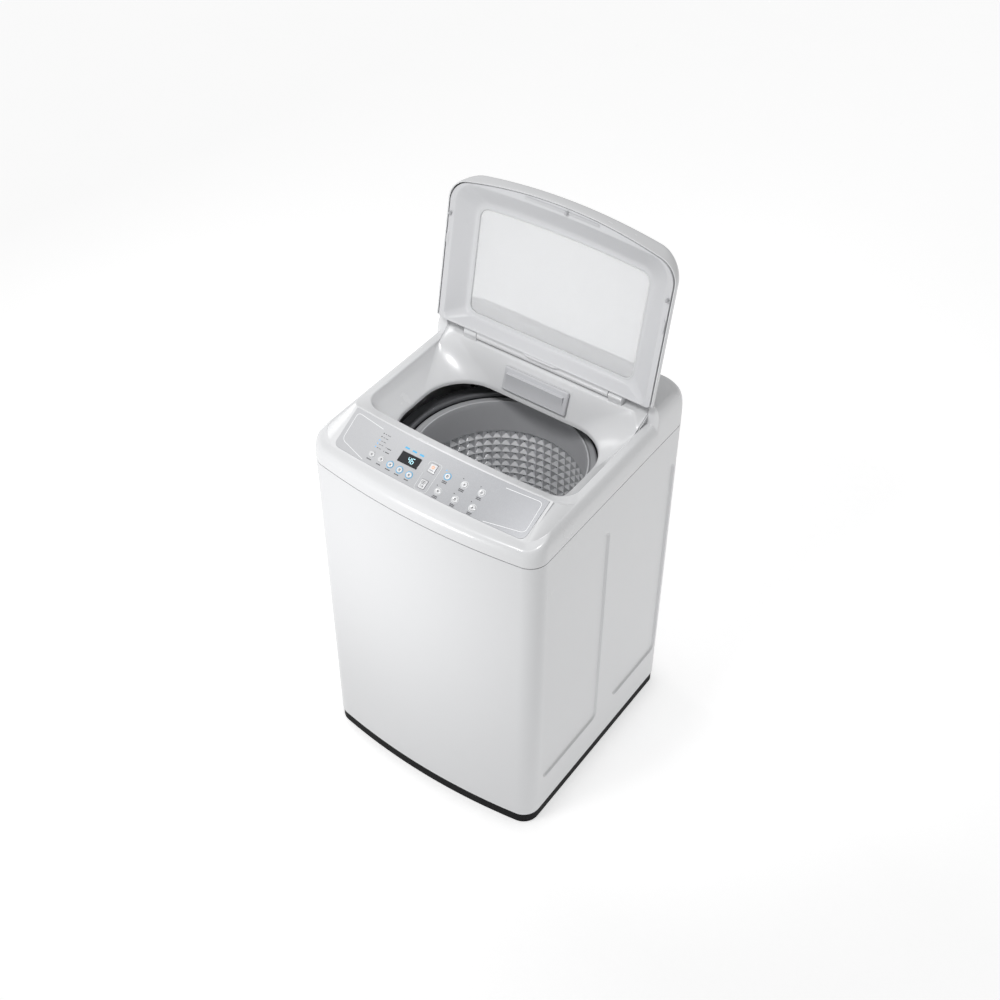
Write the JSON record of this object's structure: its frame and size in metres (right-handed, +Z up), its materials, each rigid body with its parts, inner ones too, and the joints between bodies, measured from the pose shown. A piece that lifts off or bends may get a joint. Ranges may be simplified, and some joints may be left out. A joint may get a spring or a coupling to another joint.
{
  "type": "top load washing machine",
  "caption": "Top loading washing machine: painted cabinet, moulded basin, sloping controls, hinged windowed lid, detergent drawer, spring hung tub with basket, pulsator and belt drive.",
  "frame": {"origin": "on the floor, under the middle of the machine's bounding box; the drum's axis passes through it", "axes": "+Z up, -Y towards the user and the controls, +X to the user's right"},
  "size_m": [0.54, 0.572, 1.2353],
  "materials": {
    "white_painted_steel": "white gloss paint on pressed steel",
    "white_gloss_plastic": "white, glossy",
    "light_grey_plastic": "light grey, satin",
    "silver_grey_fascia": "silver grey with a fine metallic sparkle",
    "button_grey": "grey, satin",
    "black_gloss": "black, high gloss",
    "board_green": "green circuit board",
    "tinted_clear": "clear, slightly frosted grey",
    "grey_rubber": "soft grey",
    "zinc_plated_steel": "zinc plated",
    "black_plastic": "black, fine grain",
    "tub_plastic": "grey, moulded",
    "cast_aluminium": "as cast",
    "belt_rubber": "black",
    "pulsator_plastic": "mid grey, satin",
    "balance_ring_grey": "dark grey, smooth",
    "stainless_steel": "bright stainless with embossed diamonds"
  },
  "bodies": {
    "cabinet": {"cabinet": "white_painted_steel", "rear_panel": "white_painted_steel", "base_frame": "black_plastic", "top_cover": "white_gloss_plastic", "control_fascia": "silver_grey_fascia", "display_window": "black_gloss", "control_board": "board_green", "drawer_housing": "light_grey_plastic", "inlet_valve": "tub_plastic", "drain_elbow": "tub_plastic", "cord_gland": "black_plastic", "lid_hinge_pin_left": "zinc_plated_steel", "lid_hinge_pin_right": "zinc_plated_steel", "suspension_rod_front_left": "zinc_plated_steel", "suspension_rod_front_right": "zinc_plated_steel", "suspension_rod_rear_left": "zinc_plated_steel", "suspension_rod_rear_right": "zinc_plated_steel"},
    "lid": {"lid_shell": "white_gloss_plastic", "lid_frame": "light_grey_plastic", "lid_window": "tinted_clear", "lid_bumper_front": "grey_rubber", "lid_bumper_left": "grey_rubber", "lid_bumper_right": "grey_rubber"},
    "drawer": {"detergent_drawer": "light_grey_plastic"},
    "button_option_1": {"button_option_1": "button_grey"},
    "button_option_2": {"button_option_2": "button_grey"},
    "button_option_3": {"button_option_3": "button_grey"},
    "button_option_4": {"button_option_4": "button_grey"},
    "button_option_5": {"button_option_5": "button_grey"},
    "button_power": {"button_power": "button_grey"},
    "button_start": {"button_start": "button_grey"},
    "button_program_1": {"button_program_1": "button_grey"},
    "button_program_2": {"button_program_2": "button_grey"},
    "button_program_3": {"button_program_3": "button_grey"},
    "button_program_4": {"button_program_4": "button_grey"},
    "button_program_5": {"button_program_5": "button_grey"},
    "button_program_6": {"button_program_6": "button_grey"},
    "foot_front_left": {"foot_front_left": "black_plastic"},
    "foot_front_right": {"foot_front_right": "black_plastic"},
    "foot_rear_left": {"foot_rear_left": "black_plastic"},
    "foot_rear_right": {"foot_rear_right": "black_plastic"},
    "tub": {"outer_tub": "tub_plastic", "tub_cover": "tub_plastic", "mounting_plate": "zinc_plated_steel", "gearbox": "cast_aluminium", "motor": "zinc_plated_steel", "drive_belt": "belt_rubber", "drain_pump": "tub_plastic", "suspension_spring_front_left": "zinc_plated_steel", "suspension_spring_front_right": "zinc_plated_steel", "suspension_spring_rear_left": "zinc_plated_steel", "suspension_spring_rear_right": "zinc_plated_steel"},
    "basket": {"basket_wall": "stainless_steel", "basket_base": "cast_aluminium", "balance_ring": "balance_ring_grey", "lint_filter": "light_grey_plastic"},
    "pulsator": {"pulsator": "pulsator_plastic", "pulsator_cap": "light_grey_plastic"},
    "drive_pulley": {"drive_pulley": "cast_aluminium"},
    "motor_pulley": {"motor_pulley": "cast_aluminium"}
  },
  "joints": [
    {"name": "lid_hinge", "type": "hinge", "parent": "cabinet", "child": "lid", "pos_m": [0, 0.147, 0.894], "axis": [1, 0, 0], "range_deg": [0, 100.75]},
    {"name": "drawer_slide", "type": "slide", "parent": "cabinet", "child": "drawer", "axis": [0, -1, 0], "range_m": [0, 0.08]},
    {"name": "tub_bounce", "type": "slide", "parent": "cabinet", "child": "tub", "axis": [0, 0, 1], "range_m": [-0.01, 0.01], "stiffness_N_per_m": 12000, "springref_m": 0.02033, "deforming": ["suspension_spring_front_left", "suspension_spring_front_right", "suspension_spring_rear_left", "suspension_spring_rear_right"]},
    {"name": "basket_spin", "type": "hinge", "parent": "tub", "child": "basket", "pos_m": [0, 0, 0.5], "axis": [0, 0, 1], "continuous": true},
    {"name": "pulsator_spin", "type": "hinge", "parent": "tub", "child": "pulsator", "pos_m": [0, 0, 0.31], "axis": [0, 0, 1], "continuous": true},
    {"name": "drive_pulley_spin", "type": "hinge", "parent": "tub", "child": "drive_pulley", "pos_m": [0, 0, 0.133], "axis": [0, 0, 1], "continuous": true},
    {"name": "motor_pulley_spin", "type": "hinge", "parent": "tub", "child": "motor_pulley", "pos_m": [0, 0.15, 0.133], "axis": [0, 0, 1], "continuous": true},
    {"name": "button_option_1_press", "type": "slide", "parent": "cabinet", "child": "button_option_1", "axis": [0, 0.4344, -0.9007], "range_m": [0, 0.0015], "stiffness_N_per_m": 600, "springref_m": -0.0015},
    {"name": "button_option_2_press", "type": "slide", "parent": "cabinet", "child": "button_option_2", "axis": [0, 0.4344, -0.9007], "range_m": [0, 0.0015], "stiffness_N_per_m": 600, "springref_m": -0.0015},
    {"name": "button_option_3_press", "type": "slide", "parent": "cabinet", "child": "button_option_3", "axis": [0, 0.4344, -0.9007], "range_m": [0, 0.0015], "stiffness_N_per_m": 600, "springref_m": -0.0015},
    {"name": "button_option_4_press", "type": "slide", "parent": "cabinet", "child": "button_option_4", "axis": [0, 0.4344, -0.9007], "range_m": [0, 0.0015], "stiffness_N_per_m": 600, "springref_m": -0.0015},
    {"name": "button_option_5_press", "type": "slide", "parent": "cabinet", "child": "button_option_5", "axis": [0, 0.4344, -0.9007], "range_m": [0, 0.0015], "stiffness_N_per_m": 600, "springref_m": -0.0015},
    {"name": "button_power_press", "type": "slide", "parent": "cabinet", "child": "button_power", "axis": [0, 0.4344, -0.9007], "range_m": [0, 0.0015], "stiffness_N_per_m": 600, "springref_m": -0.0015},
    {"name": "button_start_press", "type": "slide", "parent": "cabinet", "child": "button_start", "axis": [0, 0.4344, -0.9007], "range_m": [0, 0.0015], "stiffness_N_per_m": 600, "springref_m": -0.0015},
    {"name": "button_program_1_press", "type": "slide", "parent": "cabinet", "child": "button_program_1", "axis": [0, 0.4344, -0.9007], "range_m": [0, 0.0015], "stiffness_N_per_m": 600, "springref_m": -0.0015},
    {"name": "button_program_2_press", "type": "slide", "parent": "cabinet", "child": "button_program_2", "axis": [0, 0.4344, -0.9007], "range_m": [0, 0.0015], "stiffness_N_per_m": 600, "springref_m": -0.0015},
    {"name": "button_program_3_press", "type": "slide", "parent": "cabinet", "child": "button_program_3", "axis": [0, 0.4344, -0.9007], "range_m": [0, 0.0015], "stiffness_N_per_m": 600, "springref_m": -0.0015},
    {"name": "button_program_4_press", "type": "slide", "parent": "cabinet", "child": "button_program_4", "axis": [0, 0.4344, -0.9007], "range_m": [0, 0.0015], "stiffness_N_per_m": 600, "springref_m": -0.0015},
    {"name": "button_program_5_press", "type": "slide", "parent": "cabinet", "child": "button_program_5", "axis": [0, 0.4344, -0.9007], "range_m": [0, 0.0015], "stiffness_N_per_m": 600, "springref_m": -0.0015},
    {"name": "button_program_6_press", "type": "slide", "parent": "cabinet", "child": "button_program_6", "axis": [0, 0.4344, -0.9007], "range_m": [0, 0.0015], "stiffness_N_per_m": 600, "springref_m": -0.0015},
    {"name": "foot_front_left_screw", "type": "slide", "parent": "cabinet", "child": "foot_front_left", "axis": [0, 0, -1], "range_m": [0, 0.012]},
    {"name": "foot_front_right_screw", "type": "slide", "parent": "cabinet", "child": "foot_front_right", "axis": [0, 0, -1], "range_m": [0, 0.012]},
    {"name": "foot_rear_left_screw", "type": "slide", "parent": "cabinet", "child": "foot_rear_left", "axis": [0, 0, -1], "range_m": [0, 0.012]},
    {"name": "foot_rear_right_screw", "type": "slide", "parent": "cabinet", "child": "foot_rear_right", "axis": [0, 0, -1], "range_m": [0, 0.012]}
  ],
  "couplings": [
    {"joint": "drive_pulley_spin", "follows": "pulsator_spin", "ratio": 1},
    {"joint": "motor_pulley_spin", "follows": "pulsator_spin", "ratio": 3.18}
  ]
}
